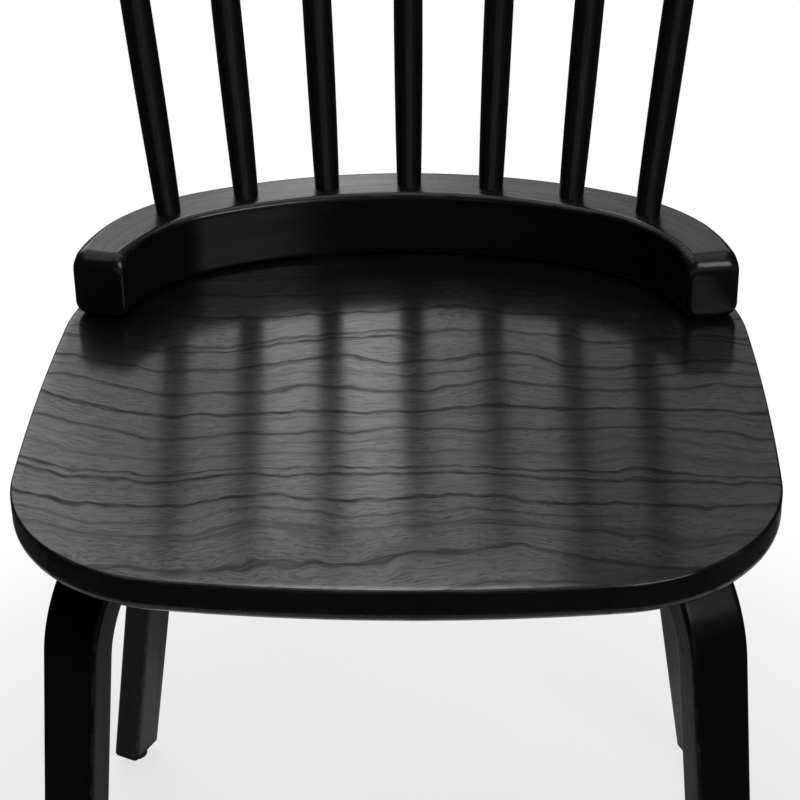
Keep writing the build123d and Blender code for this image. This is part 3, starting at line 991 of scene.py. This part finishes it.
# Glide from its recess for the nail's head round the outside to the foot
glide_hole_radius = nail_head_radius + nail_head_clearance
glide_profile = [
    (glide_hole_radius, nail_head_recess),
    (glide_hole_radius, 0.0),
    (7.3 * MM, 0.0),
    (8.0 * MM, 0.35 * MM),
    (8.4 * MM, 0.9 * MM),
    (glide_radius, 1.5 * MM),
    (glide_radius, glide_height),
    (axis_gap, glide_height),
    (axis_gap, nail_head_recess),
]
feet = [turn_in @ Vector((leg_foot_reach(), 0, -seat_under)) for turn_in in leg_frames]
glides = set_fittings("foot_glides", "glide", glide_profile, fitting_sides, feet, glide_finish)
finish_piece(glides, glide_finish, "glide_plastic", *["foot_glide_" + name for name in leg_names])

nail_low = nail_head_recess - nail_head_height
nail_profile = [
    (axis_gap, nail_low),
    (2.6 * MM, nail_low),
    (3.4 * MM, nail_head_recess - 0.7 * MM),
    (nail_head_radius, nail_head_recess),
    (axis_gap, nail_head_recess),
]
nails = set_fittings("glide_nails", "nail", nail_profile, fitting_sides, feet, steel_finish)
finish_piece(nails, steel_finish, "screw_steel", *["glide_nail_" + name for name in leg_names])

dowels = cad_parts["rail_dowels"]
dowels.data.materials.clear()
dowels.data.materials.append(dowel_finish)


# Stage, light and camera

floor_radius, floor_sides = 0.64, 96
floor_clear_radius, floor_white_radius, floor_least_glow = 0.30, 0.97 * floor_radius, 0.72
floor_dark, floor_light, floor_tint_range = (0.74, 0.74, 0.74, 1), (0.8, 0.8, 0.8, 1), (0.3, 0.7)
white, surround_strength = (1, 1, 1, 1), 0.03


def floor_finish():
    """Pale floor that keeps the chair's shadow and runs out into white."""
    material, tree = new_material("pale floor")
    at = object_place(tree)
    soft = tree.add("ShaderNodeTexNoise", {"Vector": at, "Scale": 3.0, "Detail": 3.0}).outputs["Fac"]
    tint = tree.mixed(tree.ranged(soft, *floor_tint_range), floor_dark, floor_light)
    matt = tree.add("ShaderNodeBsdfDiffuse", {"Color": tint})
    glow = tree.add("ShaderNodeEmission", {"Color": white, "Strength": 1.0})
    seen = tree.add("ShaderNodeLightPath").outputs["Is Camera Ray"]
    away = tree.add("ShaderNodeVectorMath", {0: at}, operation="LENGTH").outputs["Value"]
    glowing = tree.ranged(away, floor_clear_radius, floor_white_radius, to_low=floor_least_glow)
    share = tree.math("MULTIPLY", seen, glowing)
    both = tree.add("ShaderNodeMixShader", {0: share, 1: matt.outputs[0], 2: glow.outputs[0]})
    tree.add("ShaderNodeOutputMaterial", {0: both.outputs[0]})
    return material


def make_floor():
    """Round floor under the chair."""
    mesh = bpy.data.meshes.new("floor")
    turns = [2 * pi * k / floor_sides for k in range(floor_sides)]
    rim = [(floor_radius * cos(turn), floor_radius * sin(turn), 0) for turn in turns]
    mesh.from_pydata(rim, [], [tuple(range(floor_sides))])
    mesh.materials.append(floor_finish())
    floor = bpy.data.objects.new("floor", mesh)
    bpy.context.collection.objects.link(floor)


def make_world():
    """Even grey surround for the light, white behind the chair for the camera."""
    world = bpy.data.worlds.new("studio")
    world.use_nodes = True
    world.node_tree.nodes.clear()
    tree = Tree(world.node_tree)
    surround = tree.add("ShaderNodeBackground", {"Color": white, "Strength": surround_strength})
    backdrop = tree.add("ShaderNodeBackground", {"Color": white, "Strength": 1.0})
    seen = tree.add("ShaderNodeLightPath").outputs["Is Camera Ray"]
    both = tree.add("ShaderNodeMixShader", {0: seen, 1: surround.outputs[0], 2: backdrop.outputs[0]})
    tree.add("ShaderNodeOutputWorld", {0: both.outputs[0]})
    bpy.context.scene.world = world


def soft_box(name, spot, aim, size, power):
    """Rectangular lamp that lights the chair but isn't seen by the camera."""
    lamp = bpy.data.lights.new(name, "AREA")
    lamp.shape, lamp.size, lamp.size_y, lamp.energy = "RECTANGLE", size[0], size[1], power
    holder = bpy.data.objects.new(name, lamp)
    holder.location = spot
    holder.rotation_euler = (Vector(aim) - Vector(spot)).to_track_quat("-Z", "Y").to_euler()
    holder.visible_camera = False
    bpy.context.collection.objects.link(holder)


# The lamp in front of the crest rail makes up for that rail's dark mirror image in the seat
crest_spot = place(-50 * MM, 405 * MM, seat_top + 297 * MM)
crest_aim = place(-30 * MM, 20 * MM, seat_top)

# Lamps: name, place, aim, width and height, power in watts. The seat mirrors those at the back.
lamps = [
    ("back_wide_light", (-0.2, 1.6, 1.52), (0, 0, 0.57), (3.0, 1.3), 7.9),
    ("back_left_light", (-0.66, 1.5, 1.47), (-0.1, 0, 0.57), (1.42, 1.2), 2.6),
    ("far_left_light", (-0.95, 1.45, 1.47), (-0.1, 0, 0.57), (0.9, 1.2), 3.0),
    ("back_right_light", (0.07, 1.42, 1.47), (0, 0, 0.57), (0.19, 1.2), 0.28),
    ("back_light", (-0.16, 1.4, 1.47), (-0.1, 0, 0.57), (0.22, 1.2), 0.95),
    ("back_core_light", (-0.1, 1.38, 1.47), (-0.06, 0, 0.57), (0.1, 1.2), 0.25),
    ("back_high_light", (-0.13, 1.4, 1.86), (-0.1, 0, 0.57), (0.62, 0.45), 1.9),
    ("under_crest_light", crest_spot, crest_aim, (0.32, 0.07), 0.09),
    ("ceiling_light", (-0.2, 0, 2.67), (0, 0, 0.4), (2.8, 2.8), 18),
    ("front_right_light", (1.2, -1.5, 1.67), (0, 0.1, 0.42), (1.2, 0.9), 15),
    ("floor_bounce_light", (0, -0.03, 0.01), (0, -0.03, 1), (0.44, 0.46), 0.22),
    ("front_low_light", (0.2, -1.9, 0.55), (0, 0.2, 0.55), (2.0, 0.6), 0.9),
]

make_floor()
make_world()
for name, spot, aim, size, power in lamps:
    soft_box(name, spot, aim, size, power)
bpy.context.scene.view_settings.view_transform = "Standard"

# Camera fitted to the photograph
camera_spot = place(51.461 * MM, -1049.605 * MM, seat_top + 751.532 * MM)
pitch, yaw, roll = radians(31), radians(-2.354), radians(-0.952)
camera_data = bpy.data.cameras.new("photo_camera")
camera_data.lens, camera_data.sensor_width = 108, 36
camera = bpy.data.objects.new("photo_camera", camera_data)
bpy.context.collection.objects.link(camera)
look = Vector((sin(yaw) * cos(pitch), cos(yaw) * cos(pitch), -sin(pitch)))
level = Vector((cos(yaw), -sin(yaw), 0))
upright = level.cross(look)
across = cos(roll) * level + sin(roll) * upright
above = cos(roll) * upright - sin(roll) * level
turned = Matrix((across, above, -look)).transposed().to_4x4()
camera.matrix_world = Matrix.Translation(camera_spot) @ turned
bpy.context.scene.camera = camera
